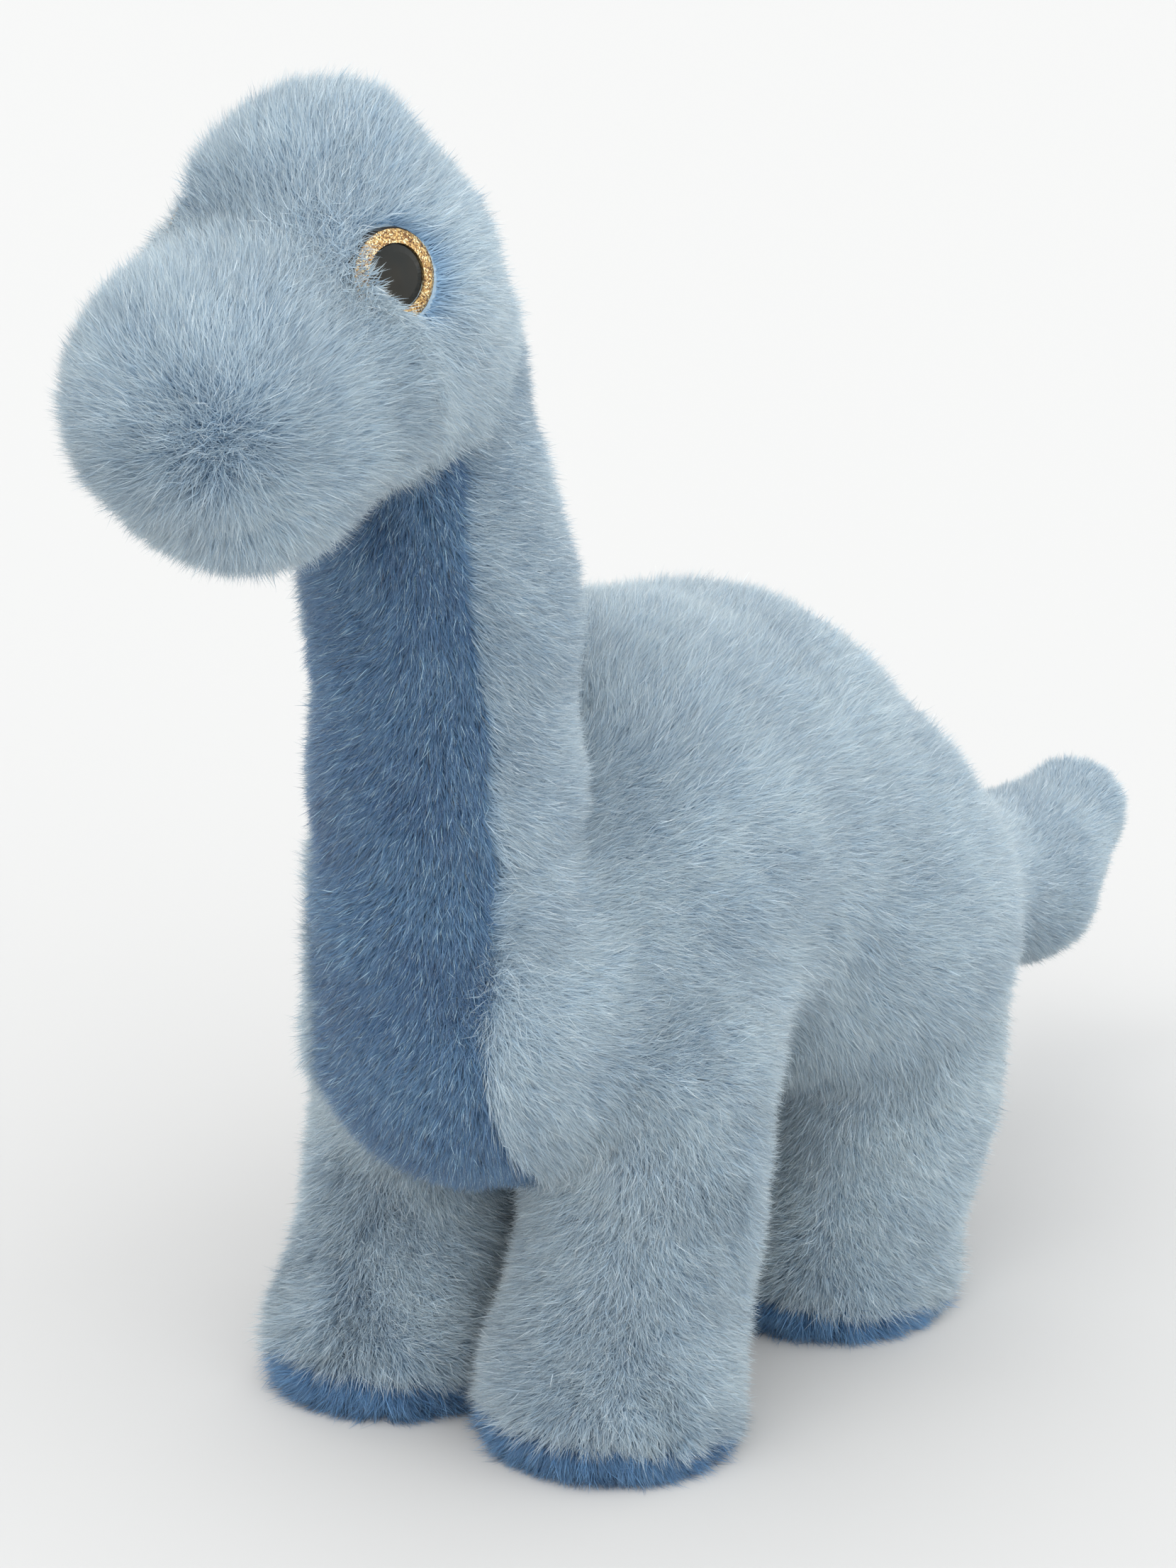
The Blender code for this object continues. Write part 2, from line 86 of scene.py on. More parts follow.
# Soft outline: balls as (x, y, z, radius) in millimetres, measured from each part's pivot
TORSO_BALLS = (
    ((0, -24, 118.5, 49), (0, 6, 112, 46.5), (0, 18, 101, 46)),
    ((0, -84, 123, 27), (0, -74.5, 91, 29.5), (0, -40, 103, 40)),
    ((-19, 29, 92, 39), (19, 29, 92, 39)),
)
NECK_BALLS = (
    ((0, 0, 0, 27), (0, -1, 40, 23), (0, -6.5, 59, 20.5), (0, -10, 86, 21.5)),
)
HEAD_BALLS = (
    ((0, -22, 42, 20.5), (0, -6, 12, 24.5)),
    ((0, -29, 14, 27.5), (0, -58, 11.5, 22), (0, -48, 1.5, 23.5)),
    ((-9, -20, 26, 22), (9, -20, 26, 22)),
)
TAIL_BALLS = (
    ((0, 0, -2, 14), (0, 37, -21, 18), (0, 77, -32, 17), (0, 105, -23, 12.5)),
)
FRONT_LEG_BALLS = (
    ((0, 0, 0, 23), (0, -3, -30, 19.5), (-1, -15, -69, 26)),
)
REAR_LEG_BALLS = (
    ((0, 2, 0, 26), (0, 2, -30, 24), (-1, -11, -69, 26)),
)
CHAIN_BLEND = 5.0 * MM
HIP_BLEND = 6.5 * MM
JOIN_BLEND = 3.0 * MM
ROOT_DEPTH = 3.0 * MM
GRID_STEP = 2.5 * MM

# Folds gathered by the seam that sews the tail on
TAIL_FOLD_OFFSET = np.array((0, 22, -12)) * MM
TAIL_FOLD_REACH = 14 * MM
TAIL_FOLD_DEPTH = 0.9 * MM
TAIL_FOLD_COUNT = 11

# Where the nap starts from, measured from the head's pivot and from each leg's
SNOUT_WHORL = np.array((19, -77, 3)) * MM
EYE_CORNER = np.array((20, -42, 37)) * MM
LEG_FAN = np.array((12, -25, -20)) * MM
CHEST_WHORL = np.array((25, -99, 108)) * MM
BROW_RISE = np.array((0, 8, 14)) * MM
MIRROR = np.array((-1, 1, 1))
WHORL_REACH = 9 * MM
WHORLS = [
    PIVOTS["head_nod"] + SNOUT_WHORL,
    PIVOTS["head_nod"] + EYE_CORNER,
    PIVOTS["head_nod"] + EYE_CORNER * MIRROR,
    CHEST_WHORL,
    CHEST_WHORL * MIRROR,
]
HEAD_PANELS = ("crown", "muzzle", "chin", "head_left", "head_right")
FIBRE_MAP = "OFBake"

# Seams, close to the CAD part's; the sole's seam rises toward the toes
BELLY_HALF_WIDTH = 19.5 * MM
THROAT_HALF_WIDTH = 19.5 * MM
THROAT_TAPER = 0.035
GUSSET_HALF_WIDTH = 13 * MM
BELLY_REAR_END = 32 * MM
BELLY_SEAM_POINT = np.array((0, -82, 139)) * MM
BELLY_SEAM_NORMAL = np.array((0, 0.537, 0.843))
MUZZLE_SEAM_POINT = np.array((0, -129, 248)) * MM
MUZZLE_SEAM_NORMAL = np.array((0, 0.83, 0.56))
CHIN_HEIGHT = 227 * MM
NECK_SPLIT_HEIGHT = 190 * MM
SOLE_HEIGHT = 5.5 * MM
SOLE_TILT = 0.20
SOLE_MIDDLE = -13 * MM
SEAM_SINK = 0.8 * MM

# Pile: two layers of fibres, each a tapered ribbon through its steps from root to tip.
# Density is per square millimetre, width in millimetres, length a share of the region's.
UNDERCOAT = {
    "density": 11.0,
    "width": 0.26,
    "length": 0.90,
    "steps": (0.0, 1.0),
    "taper": (1.0, 0.0),
}
GUARD_HAIRS = {
    "density": 2.6,
    "width": 0.18,
    "length": 1.06,
    "steps": (0.0, 0.5, 1.0),
    "taper": (1.0, 0.8, 0.0),
}
CLUMP_SPACING_MM = 2.6
GROUND_CLEARANCE = 0.25 * MM

# How far the nap rises for each step back, at heights in millimetres
BODY_RISE = ((60, 95, 110, 135, 160), (-0.6, -0.4, -0.18, 0.13, 0.43))
NECK_RISE = ((90, 110, 130, 160), (-0.6, -0.3, -0.2, -0.45))
THROAT_DROP = ((170, 220), (-1.0, -0.5))
THROAT_SIDEWAYS = 0.9
NECK_FUR_REACH = -52 * MM
NECK_FUR_FADE = 26 * MM
CHEST_PARTING_REACH = 16 * MM
CHEST_PARTING = 1.6
SNOUT_LIFT = 0.5

# Leg fur: where it turns from the body's nap, and how it fans out over the foot
HIP_DROP = 22 * MM
HIP_FADE = 34 * MM
FOOT_FAN_START = 0.3
FOOT_FAN_FALL = 40 * MM
FOOT_FAN_SPREAD = 22 * MM
FOOT_RUFFLE = 0.45
RUFFLE_SIZE = 16 * MM

# Slow changes of the nap's direction, and how far single fibres and clumps stray from it
LEG_SWIRL = 0.55
SWIRL = 0.3
FINE_SWIRL = 0.2
LEG_TANGLE = 0.52
TANGLE = 0.32
WHORL_TANGLE = 1.8
CLUMP_TANGLE = 0.14
FRINGE_TANGLE = 0.3

# How fibres stand, bend and differ in length
LEAN_LIMITS = (0.25, 1.5)
CLUMP_LEAN = 0.10
FIBRE_LEAN = 0.15
FOOT_LEAN = ((8, 30), (0.25, 0.0))
LENGTH_RANGE = (0.82, 1.10)
WIDTH_RANGE = (0.75, 1.25)
SEAM_SHORTENING = 0.12
FRINGE_RAGGEDNESS = 0.4
FRINGE_HEIGHTS = ((1, 7), (1.0, 0.0))
BOW = 0.08
ROLL = 0.8

# How much of a fibre's shade comes from the fibre, its clump and the patch it grows in
FIBRE_SHADE = 0.60
CLUMP_SHADE = 0.15
PATCH_SHADE = 0.25
# Share of fibres at the palest shade: pale near-white fibres in the light pile, painted glints (white
# sparkles) in the dark pile
PALE_AND_GLINT_FIBRES = 0.06
BRIGHTEST_COMMON_SHADE = 0.93
# Painted shade and light by panel: neck panels darkened and rear legs (their soles too) lightened,
# standing in for how light falls on them
PAINTED_SHADE_AND_LIGHT_SHIFT = {"neck": -0.18, "rear": 0.14}

# Pile by region: length in millimetres, angle from the fabric in degrees, how far clumps gather
PILE_STYLES = {
    "body": {"length": 8.5, "lean": 50, "clump": 0.14},
    "head": {"length": 8.0, "lean": 52, "clump": 0.14},
    "neck": {"length": 7.0, "lean": 50, "clump": 0.12},
    "throat": {"length": 6.0, "lean": 46, "clump": 0.20},
    "tail": {"length": 5.5, "lean": 52, "clump": 0.12},
    "leg": {"length": 8.0, "lean": 54, "clump": 0.10},
    "sole": {"length": 8.5, "lean": 56, "clump": 0.30},
}


# ---------------------------------------------------------------- soft outline


def segment_distance(points, start, end):
    """Distance from points to a rounded cone between two balls."""
    along = end[:3] - start[:3]
    share = np.clip((points - start[:3]) @ along / (along @ along), 0, 1)
    nearest = start[:3] + share[:, None] * along
    radius = start[3] + (end[3] - start[3]) * share
    return np.linalg.norm(points - nearest, axis=1) - radius


def soft_union(distances, blend):
    """One distance from several, with a rounded valley where the forms meet."""
    lowest = np.min(distances, axis=0)
    total = sum(np.exp((lowest - distance) / blend) for distance in distances)
    return lowest - blend * np.log(total)


class Part:
    """A body part's chains of balls in the row frame; x grows away from the middle."""

    def __init__(self, body, pivot, chains):
        self.body = body
        self.pivot = pivot
        outward = np.array((-1 if pivot[0] < 0 else 1, 1, 1))
        self.chains = []
        for chain in chains:
            balls = [np.append(pivot + np.array(ball[:3]) * outward * MM, ball[3] * MM) for ball in chain]
            self.chains.append(balls)

    def distance(self, points):
        distances = []
        for balls in self.chains:
            pairs = zip(balls, balls[1:])
            segments = [segment_distance(points, start, end) for start, end in pairs]
            distances.append(soft_union(segments, CHAIN_BLEND))
        return soft_union(distances, CHAIN_BLEND)


PARTS = [
    Part("torso", GROUND, TORSO_BALLS),
    Part("neck", PIVOTS["neck_bend"], NECK_BALLS),
    Part("head", PIVOTS["head_nod"], HEAD_BALLS),
    Part("tail", PIVOTS["tail_wag"], TAIL_BALLS),
    Part("front_left_leg", PIVOTS["front_left_leg_swing"], FRONT_LEG_BALLS),
    Part("front_right_leg", PIVOTS["front_right_leg_swing"], FRONT_LEG_BALLS),
    Part("rear_left_leg", PIVOTS["rear_left_leg_swing"], REAR_LEG_BALLS),
    Part("rear_right_leg", PIVOTS["rear_right_leg_swing"], REAR_LEG_BALLS),
]


def tail_folds(points):
    """Depth of the small folds gathered where the tail is sewn on."""
    offset = points - PIVOTS["tail_wag"] - TAIL_FOLD_OFFSET
    angle = np.arctan2(offset[:, 2], offset[:, 0])
    fade = np.exp(-((offset[:, 1] / TAIL_FOLD_REACH) ** 2))
    return TAIL_FOLD_DEPTH * fade * np.cos(TAIL_FOLD_COUNT * angle)


def outline_distance(points):
    """Signed distance to the fabric under the pile, which stands on the ground."""
    distances = {part.body: part.distance(points) for part in PARTS}
    distances["tail"] += tail_folds(points)
    limbs = [distance for body, distance in distances.items() if body == "torso" or "leg" in body]
    others = [distances[body] for body in ("neck", "head", "tail")]
    distance = soft_union([soft_union(limbs, HIP_BLEND), *others], JOIN_BLEND)
    return np.maximum(distance + ROOT_DEPTH, 0.6 * MM - points[:, 2])


def slope(points):
    """Unit outward normals of the outline."""
    step = 0.4 * MM
    centre = outline_distance(points)
    columns = []
    for axis in range(3):
        moved = points.copy()
        moved[:, axis] += step
        columns.append(outline_distance(moved) - centre)
    return unit(np.stack(columns, axis=1))


def unit(vectors):
    return vectors / np.maximum(np.linalg.norm(vectors, axis=1), 1e-9)[:, None]


def outline_surface():
    """Points and quads of the outline, drawn onto its zero level."""
    low = np.array(cad_low) - 10 * MM
    counts = np.ceil((np.array(cad_high) + 10 * MM - low) / GRID_STEP).astype(int)
    axes = [low[k] + np.arange(counts[k]) * GRID_STEP for k in range(3)]
    grid = np.stack(np.meshgrid(*axes, indexing="ij"), axis=-1).reshape(-1, 3)
    values = outline_distance(grid) / GRID_STEP
    volume = openvdb.FloatGrid(3.0)
    volume.copyFromArray(np.clip(values, -3, 3).reshape(counts).astype(np.float32))
    points, quads = volume.convertToQuads(0.0)
    points = low + points.astype(float) * GRID_STEP
    for _ in range(3):
        points -= slope(points) * outline_distance(points)[:, None]
    return points, quads[:, ::-1]


def nearest_part(points):
    return np.argmin([part.distance(points) for part in PARTS], axis=0)


def part_of(name):
    """The leg that a leg panel belongs to."""
    return next(part for part in PARTS if name.startswith(part.body))


# ---------------------------------------------------------------- panels


def is_dark(name):
    return name == "belly" or name.startswith("throat") or name.endswith("sole")


def side_of(point, seam_point, seam_normal):
    return (np.array(point) - seam_point) @ seam_normal > 0


def seam_planes(part):
    """The planes along which a part's fabric is sewn."""
    middle = (GROUND, (1, 0, 0))
    if part.body == "torso":
        return [
            middle,
            (GROUND, (0, 1, 0)),
            ((BELLY_HALF_WIDTH, 0, 0), (1, 0, 0)),
            ((-BELLY_HALF_WIDTH, 0, 0), (1, 0, 0)),
            (BELLY_SEAM_POINT, BELLY_SEAM_NORMAL),
            ((0, BELLY_REAR_END, 0), (0, 1, 0)),
        ]
    if part.body == "neck":
        return [
            middle,
            ((THROAT_HALF_WIDTH, 0, part.pivot[2]), (1, 0, THROAT_TAPER)),
            ((-THROAT_HALF_WIDTH, 0, part.pivot[2]), (1, 0, -THROAT_TAPER)),
            ((0, 0, NECK_SPLIT_HEIGHT), (0, 0, 1)),
        ]
    if part.body == "head":
        return [
            ((GUSSET_HALF_WIDTH, 0, 0), (1, 0, 0)),
            ((-GUSSET_HALF_WIDTH, 0, 0), (1, 0, 0)),
            (MUZZLE_SEAM_POINT, MUZZLE_SEAM_NORMAL),
            ((0, 0, CHIN_HEIGHT), (0, 0, 1)),
        ]
    if part.body == "tail":
        return [middle]
    sole_seam = (0, part.pivot[1] + SOLE_MIDDLE, SOLE_HEIGHT)
    return [((part.pivot[0], 0, 0), (1, 0, 0)), (sole_seam, (0, SOLE_TILT, 1))]


def above_sole(part, points):
    """Height over the sole's seam, which rises toward the toes."""
    return points[..., 2] - SOLE_HEIGHT + SOLE_TILT * (points[..., 1] - part.pivot[1] - SOLE_MIDDLE)


def panel_name(part, point):
    """The sewn panel that a point of the surface belongs to."""
    side = "left" if point[0] > 0 else "right"
    if part.body == "torso":
        below = not side_of(point, BELLY_SEAM_POINT, BELLY_SEAM_NORMAL)
        if below and abs(point[0]) < BELLY_HALF_WIDTH and point[1] < BELLY_REAR_END:
            return "belly"
        return f"body_{side}_{'front' if point[1] < 0 else 'rear'}"
    if part.body == "neck":
        half = "upper" if point[2] > NECK_SPLIT_HEIGHT else "lower"
        front = point[1] < part.pivot[1] - 0.2 * (point[2] - part.pivot[2])
        if front and abs(point[0]) < THROAT_HALF_WIDTH - THROAT_TAPER * (point[2] - part.pivot[2]):
            return f"throat_{half}"
        return f"neck_{side}_{half}"
    if part.body == "head":
        if point[2] < CHIN_HEIGHT:
            return "chin"
        if not side_of(point, MUZZLE_SEAM_POINT, MUZZLE_SEAM_NORMAL):
            return "muzzle"
        return "crown" if abs(point[0]) < GUSSET_HALF_WIDTH else f"head_{side}"
    if part.body == "tail":
        return f"tail_{side}"
    if above_sole(part, np.array(point)) < 0:
        return f"{part.body}_sole"
    outside = abs(point[0]) > abs(part.pivot[0])
    return f"{part.body}_{'outer' if outside else 'inner'}"


def sewn_surface():
    """The outline's surface, cut along the seams, with each face's panel."""
    points, quads = outline_surface()
    bm = bmesh.new()
    verts = [bm.verts.new(point) for point in points]
    for quad in quads:
        bm.faces.new([verts[index] for index in quad])
    layer = bm.faces.layers.int.new("part")
    centres = np.array([face.calc_center_median() for face in bm.faces])
    for face, owner in zip(bm.faces, nearest_part(centres)):
        face[layer] = int(owner)
    for index, part in enumerate(PARTS):
        for seam_point, seam_normal in seam_planes(part):
            faces = [face for face in bm.faces if face[layer] == index]
            edges = {edge for face in faces for edge in face.edges}
            corners = {vert for face in faces for vert in face.verts}
            bmesh.ops.bisect_plane(bm, geom=[*corners, *edges, *faces], dist=0.2 * MM,
                                   plane_co=seam_point, plane_no=seam_normal)
    bm.verts.index_update()
    panels = {}
    for face in bm.faces:
        name = panel_name(PARTS[face[layer]], face.calc_center_median())
        panels.setdefault(name, []).append([vert.index for vert in face.verts])
    places = np.array([vert.co for vert in bm.verts])
    bm.free()
    return places, panels


# ---------------------------------------------------------------- pile


def triangles_of(faces):
    return np.array([(face[0], face[k], face[k + 1]) for face in faces for k in range(1, len(face) - 1)])


def scatter(places, faces, per_square_mm, rng):
    """Random roots on a panel, as the corners of their triangles and the corners' shares."""
    triangles = triangles_of(faces)
    a, b, c = (places[triangles[:, k]] for k in range(3))
    areas = np.linalg.norm(np.cross(b - a, c - a), axis=1) / 2
    count = int(areas.sum() / MM**2 * per_square_mm)
    chosen = rng.choice(len(triangles), count, p=areas / areas.sum())
    u, v = rng.random(count), rng.random(count)
    over = u + v > 1
    u[over], v[over] = 1 - u[over], 1 - v[over]
    return triangles[chosen], np.stack([1 - u - v, u, v], axis=1)


def between(values, corners, shares):
    """Values at the roots from the values at the panel's vertices."""
    return np.einsum("rc...,rc->r...", values[corners], shares)


def seam_nearness(places, faces):
    """One at the vertices along a panel's seams and zero elsewhere."""
    uses = Counter(frozenset(pair) for face in faces for pair in zip(face, face[1:] + face[:1]))
    edge = sorted({index for pair, count in uses.items() if count == 1 for index in pair})
    nearness = np.zeros(len(places))
    nearness[edge] = 1.0
    return nearness


def wander(points, size, seed):
    """Smooth random values near -1..1 that change over about the given size."""
    rng = np.random.default_rng(seed)
    total = np.zeros(len(points))
    for _ in range(5):
        wave = unit(rng.normal(size=(1, 3)))[0] / size * rng.uniform(0.6, 1.4)
        total += np.sin(points @ wave * 2 * math.pi + rng.uniform(0, 2 * math.pi))
    return total / 2.5


def ruffle(points):
    """Smoothly changing directions for fur that stands every way."""
    return np.stack([wander(points, RUFFLE_SIZE, seed) for seed in (41, 42, 43)], axis=1)


def flatten(vectors, normals):
    """Vectors drawn into the surface and made unit length."""
    return unit(vectors - normals * (vectors * normals).sum(axis=1)[:, None])


def turned(lie, across, angle):
    """Directions in the surface, each turned by its own angle."""
    return lie * np.cos(angle)[:, None] + across * np.sin(angle)[:, None]


def near_whorl(points):
    """One at the places where the fur parts or turns, falling to zero around them."""
    distances = [np.linalg.norm(points - whorl, axis=1) for whorl in WHORLS]
    return np.exp(-((np.min(distances, axis=0) / WHORL_REACH) ** 2))


def comb_head(name, points):
    """Muzzle fur swirls out from the snout; the rest fans up and back from the eyes' corners."""
    if name in ("muzzle", "chin"):
        return unit(points - PIVOTS["head_nod"] - SNOUT_WHORL) + (0, 0, SNOUT_LIFT)
    corner = np.tile(EYE_CORNER, (len(points), 1))
    corner[:, 0] = np.clip(points[:, 0], -EYE_CORNER[0], EYE_CORNER[0])
    between_eyes = 1 - (corner[:, :1] / EYE_CORNER[0]) ** 2
    return unit(points - PIVOTS["head_nod"] - corner + between_eyes * BROW_RISE)


def comb_along(points, from_height, rise):
    """Fur that runs back along the toy, rising by so much at each height in millimetres."""
    count = len(points)
    upward = np.interp(points[:, 2] / MM, from_height, rise)
    return np.stack([np.zeros(count), np.ones(count), upward], axis=1)


def comb_body(points):
    """Fur that turns from the neck's nap to the body's and parts at each side of the chest."""
    neckward = np.clip((NECK_FUR_REACH - points[:, 1]) / NECK_FUR_FADE, 0, 1)[:, None]
    lie = comb_along(points, *BODY_RISE) * (1 - neckward) + comb_along(points, *NECK_RISE) * neckward
    from_whorl = points - CHEST_WHORL * np.where(points[:, :1] > 0, 1, MIRROR)
    reach = np.linalg.norm(from_whorl, axis=1)[:, None]
    parting = CHEST_PARTING * np.exp(-(reach / CHEST_PARTING_REACH) ** 2)
    return lie + parting * from_whorl / reach


def comb_leg(name, points):
    """Fur that runs on from the body's, down from the hip, and fans out over the foot."""
    part = part_of(name)
    fan = LEG_FAN * (math.copysign(1, part.pivot[0]), 1, 1)
    offset = points - part.pivot - fan
    share = np.clip(FOOT_FAN_START - offset[:, 2] / FOOT_FAN_FALL, 0, 1)[:, None]
    lie = np.tile((0, 0, -1.0), (len(points), 1))
    lie[:, :2] += offset[:, :2] / FOOT_FAN_SPREAD * share
    lie += FOOT_RUFFLE * share * ruffle(points)
    hip = np.clip((points[:, 2] - part.pivot[2] + HIP_DROP) / HIP_FADE, 0, 1)[:, None]
    return lie * (1 - hip) + comb_along(points, *BODY_RISE) * hip


def comb_throat(points):
    """Dark fur that runs down and across the throat and belly."""
    share = np.clip((THROAT_HALF_WIDTH - points[:, 0]) / (2 * THROAT_HALF_WIDTH), 0, 1)
    drop = np.interp(points[:, 2] / MM, *THROAT_DROP)
    return np.stack([-THROAT_SIDEWAYS * share, np.full(len(points), 0.1), drop], axis=1)


def combed(name, points):
    """The panel's nap before it is drawn into the surface."""
    if name in HEAD_PANELS:
        return comb_head(name, points)
    if name.endswith("sole"):
        return unit((points - points.mean(axis=0)) * (1, 1, 0)) - (0, 0, 0.4)
    if "leg" in name:
        return comb_leg(name, points)
    if is_dark(name):
        return comb_throat(points)
    if name.startswith("tail"):
        return np.tile((0, 1.0, 0.1), (len(points), 1))
    if name.startswith("neck"):
        return comb_along(points, *NECK_RISE)
    return comb_body(points)


def comb_direction(name, points, normals):
    """The way the nap lies at each root, with slow swirls."""
    lie = flatten(combed(name, points), normals)
    swirl = LEG_SWIRL if "leg" in name else SWIRL
    turn = swirl * wander(points, 30 * MM, 3) + FINE_SWIRL * wander(points, 12 * MM, 4)
    return turned(lie, np.cross(normals, lie), turn)


def clumps(centres):
    """A tree that finds the nearest clump's centre."""
    tree = KDTree(len(centres))
    for index, centre in enumerate(centres):
        tree.insert(centre, index)
    tree.balance()
    return tree, centres


def style_of(name):
    if name.endswith("sole"):
        return PILE_STYLES["sole"]
    if "leg" in name:
        return PILE_STYLES["leg"]
    if is_dark(name):
        return PILE_STYLES["throat"]
    for family in ("body", "neck", "tail"):
        if name.startswith(family):
            return PILE_STYLES[family]
    return PILE_STYLES["head"]


def scatter_of(name):
    """How unevenly single fibres catch the light."""
    if is_dark(name) or "leg" in name:
        return 0.46
    return 0.28 if name in HEAD_PANELS else 0.36


def fringe_share(name, roots):
    """One at a leg's sole seam, where the fur hangs in a ragged fringe, and zero above it."""
    if "leg" not in name:
        return np.zeros(len(roots))
    return np.interp(above_sole(part_of(name), roots) / MM, *FRINGE_HEIGHTS)


def stray_directions(name, roots, outward, fringe, owner, clump_count, rng):
    """The fibres' directions in the surface: the nap, with clumps and single fibres astray."""
    lie = comb_direction(name, roots, outward)
    tangle = (LEG_TANGLE if "leg" in name else TANGLE) + WHORL_TANGLE * near_whorl(roots)
    turn = (CLUMP_TANGLE + FRINGE_TANGLE * fringe) * rng.normal(0, 1, clump_count)[owner]
    turn += rng.normal(0, 1, len(roots)) * tangle
    return turned(lie, np.cross(outward, lie), turn)


def lean_angles(name, roots, lid, owner, clump_count, rng):
    """How steeply each fibre stands, as an angle from the fabric."""
    lean = math.radians(style_of(name)["lean"]) + rng.normal(0, CLUMP_LEAN, clump_count)[owner]
    lean += rng.normal(0, FIBRE_LEAN, len(roots))
    if "leg" in name and not name.endswith("sole"):
        lean += np.interp(roots[:, 2] / MM, *FOOT_LEAN)
    return np.clip(lean + LID_RISE * lid, *LEAN_LIMITS)


def fibre_lengths(name, layer, roots, near_seam, fringe, owner, clump_count, rng):
    """Each fibre's length: shorter along a seam, ragged in a fringe, varied in patches."""
    count = len(roots)
    length = style_of(name)["length"] * layer["length"] * MM * rng.uniform(*LENGTH_RANGE, count)
    length *= 1 + 0.08 * wander(roots, 18 * MM, 8)
    length *= 1 - SEAM_SHORTENING * near_seam
    return length * (1 + FRINGE_RAGGEDNESS * fringe * (rng.random(clump_count)[owner] - 0.4))


def fibre_shades(name, roots, owner, clump_count, rng):
    """Where each fibre's colour sits between the darkest and the palest of its finish."""
    count = len(roots)
    shade = FIBRE_SHADE * rng.random(count) + CLUMP_SHADE * rng.random(clump_count)[owner]
    shade += PATCH_SHADE * (0.5 + 0.5 * np.clip(wander(roots, 25 * MM, 21), -1, 1))
    # painted shade on the neck panels, painted light on the rear legs
    shade += PAINTED_SHADE_AND_LIGHT_SHIFT.get(name[:4], 0.0)
    # The chosen fibres take the palest shade: painted glints on the dark pile, pale fibres on the light
    # pile
    return np.where(rng.random(count) < PALE_AND_GLINT_FIBRES, 1.0, BRIGHTEST_COMMON_SHADE * shade)


def fibre_layer(name, layer, panel, tree, centres, rng):
    """One layer of ribbons: vertices by fibre, shown normals, along and shade values."""
    places, normals, nearness, faces = panel
    density = layer["density"] * 1
    corners, shares = scatter(places, faces, density, rng)
    keep = away_from_eyes(between(places, corners, shares))
    corners, shares = corners[keep], shares[keep]
    outward = unit(between(normals, corners, shares))
    near_seam = between(nearness, corners, shares)
    roots = between(places, corners, shares) - outward * near_seam[:, None] * SEAM_SINK
    count = len(roots)
    owner = np.array([tree.find(root)[1] for root in roots])
    fringe = fringe_share(name, roots)
    lid = eyelid(roots)

    lie = stray_directions(name, roots, outward, fringe, owner, len(centres), rng)
    across = np.cross(outward, lie)
    lean = lean_angles(name, roots, lid, owner, len(centres), rng)
    length = fibre_lengths(name, layer, roots, near_seam, fringe, owner, len(centres), rng)
    bow = rng.normal(0, BOW, count) * length

    steps = np.array(layer["steps"])
    rise = (length * np.sin(lean))[:, None] * (1.35 * steps - 0.35 * steps**2)
    reach = (length * np.cos(lean))[:, None] * (0.55 * steps + 0.45 * steps**2)
    sway = bow[:, None] * np.sin(steps * math.pi)
    gather = (centres[owner] - roots) * (style_of(name)["clump"] + 0.25 * fringe[:, None])
    line = (
        roots[:, None, :]
        + outward[:, None, :] * rise[:, :, None]
        + lie[:, None, :] * reach[:, :, None]
        + across[:, None, :] * sway[:, :, None]
        + gather[:, None, :] * (steps**1.5)[None, :, None]
    )
    line[:, :, 2] = np.maximum(line[:, :, 2], GROUND_CLEARANCE)

    flat = turned(across, outward, rng.uniform(-ROLL, ROLL, count))
    width = layer["width"] * MM * rng.uniform(*WIDTH_RANGE, count) * (1 + lid)
    half = np.array(layer["taper"])[None, :-1] * width[:, None] / 2
    left = line[:, :-1] - flat[:, None, :] * half[:, :, None]
    right = line[:, :-1] + flat[:, None, :] * half[:, :, None]
    body = np.stack([left, right], axis=2).reshape(count, -1, 3)
    vertices = np.concatenate([body, line[:, -1:]], axis=1)

    facing = unit(np.cross(turned(lie, outward, lean), flat))
    shown = unit(outward * 0.8 + facing * 0.3 + rng.normal(0, scatter_of(name), (count, 3)))
    shade = fibre_shades(name, roots, owner, len(centres), rng)
    return vertices, shown, np.append(np.repeat(steps[:-1], 2), 1.0), shade


def ribbon_faces(count, levels, first_vertex):
    """Corner numbers of every ribbon's quads and its triangle at the tip."""
    first = first_vertex + (np.arange(count) * (2 * levels + 1))[:, None]
    bases = [2 * level for level in range(levels - 1)]
    quads = [first + np.array((base, base + 2, base + 3, base + 1)) for base in bases]
    quads = np.concatenate(quads) if quads else np.zeros((0, 4), int)
    return quads, first + np.array((2 * levels - 2, 2 * levels, 2 * levels - 1))


def pile_mesh(name, panel, rng):
    """Undercoat and guard hairs rooted all over a panel, as one mesh."""
    places, _, _, faces = panel
    tree, centres = clumps(between(places, *scatter(places, faces, 1 / CLUMP_SPACING_MM**2, rng)))
    vertices, shown, quads, tips, cells = [], [], [], [], []
    start = 0
    for layer in (UNDERCOAT, GUARD_HAIRS):
        grown, facing, along, shade = fibre_layer(name, layer, panel, tree, centres, rng)
        count, per_fibre = grown.shape[:2]
        layer_quads, layer_tips = ribbon_faces(count, len(layer["steps"]) - 1, start)
        quads.append(layer_quads)
        tips.append(layer_tips)
        vertices.append(grown.reshape(-1, 3))
        shown.append(np.repeat(facing, per_fibre, axis=0))
        cells.append(fibre_cells(shade, along))
        start += count * per_fibre
    mesh = bpy.data.meshes.new(f"{name}_pile")
    fill_mesh(mesh, np.concatenate(vertices), np.concatenate(quads), np.concatenate(tips))
    add_fibre_map(mesh, np.concatenate(cells))
    mesh.normals_split_custom_set_from_vertices(np.concatenate(shown))
    return mesh


